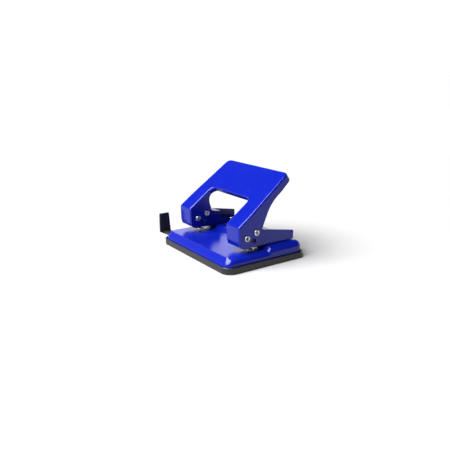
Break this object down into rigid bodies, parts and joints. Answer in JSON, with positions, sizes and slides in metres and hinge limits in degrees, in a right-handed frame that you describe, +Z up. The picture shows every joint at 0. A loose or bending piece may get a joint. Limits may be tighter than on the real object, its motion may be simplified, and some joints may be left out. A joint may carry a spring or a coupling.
{
  "type": "two-hole paper punch",
  "caption": "Desk paper punch with a bent sheet lever, riveted channel brackets, round punches, a stepped base, a clip-on chip tray and a side gauge.",
  "frame": {"origin": "centre of the chip tray's underside, on the surface the punch stands on", "axes": "+X along the row of punched holes to the right, +Z up; paper enters from -Y"},
  "size_m": [0.1266, 0.0894, 0.0789],
  "materials": {
    "blue_paint": "gloss stoved paint, saturated blue",
    "bracket_paint": "gloss stoved paint, the same blue",
    "black_plastic": "fine grained moulded plastic",
    "plated_steel": "bright zinc plate",
    "ground_steel": "ground and hardened",
    "spring_steel": "drawn wire"
  },
  "bodies": {
    "base": {"base_plate": "blue_paint", "gauge_rail": "plated_steel", "bracket_left": "bracket_paint", "die_left": "ground_steel", "bracket_rivet_left_front": "plated_steel", "bracket_rivet_left_rear": "plated_steel", "pivot_washer_left_outer": "plated_steel", "pivot_washer_left_inner": "plated_steel", "return_spring_left": "spring_steel", "bracket_right": "bracket_paint", "die_right": "ground_steel", "bracket_rivet_right_front": "plated_steel", "bracket_rivet_right_rear": "plated_steel", "pivot_washer_right_outer": "plated_steel", "pivot_washer_right_inner": "plated_steel", "return_spring_right": "spring_steel"},
    "chip_tray": {"chip_tray": "black_plastic"},
    "lever": {"lever": "blue_paint", "pivot_pin_left": "plated_steel", "cross_pin_left": "plated_steel", "pivot_pin_right": "plated_steel", "cross_pin_right": "plated_steel"},
    "paper_gauge": {"paper_gauge": "black_plastic"},
    "punch_left": {"punch_left": "ground_steel", "spring_washer_left": "plated_steel"},
    "punch_right": {"punch_right": "ground_steel", "spring_washer_right": "plated_steel"}
  },
  "joints": [
    {"name": "lever_hinge", "type": "hinge", "parent": "base", "child": "lever", "pos_m": [0, -0.019, 0.0271], "axis": [-1, 0, 0], "range_deg": [0, 30], "stiffness_Nm_per_rad": 0.525, "springref_deg": -17.99},
    {"name": "punch_left_slide", "type": "slide", "parent": "base", "child": "punch_left", "axis": [0, 0, -1], "range_m": [0, 0.00566], "deforming": ["return_spring_left"]},
    {"name": "punch_right_slide", "type": "slide", "parent": "base", "child": "punch_right", "axis": [0, 0, -1], "range_m": [0, 0.00566], "deforming": ["return_spring_right"]},
    {"name": "gauge_slide", "type": "slide", "parent": "base", "child": "paper_gauge", "axis": [-1, 0, 0], "range_m": [0, 0.0803]},
    {"name": "tray_pull", "type": "slide", "parent": "base", "child": "chip_tray", "axis": [0, 0, -1], "range_m": [0, 0.02]}
  ],
  "couplings": [
    {"joint": "punch_left_slide", "follows": "lever_hinge", "m_per_rad": 0.010772},
    {"joint": "punch_right_slide", "follows": "lever_hinge", "m_per_rad": 0.010772}
  ]
}
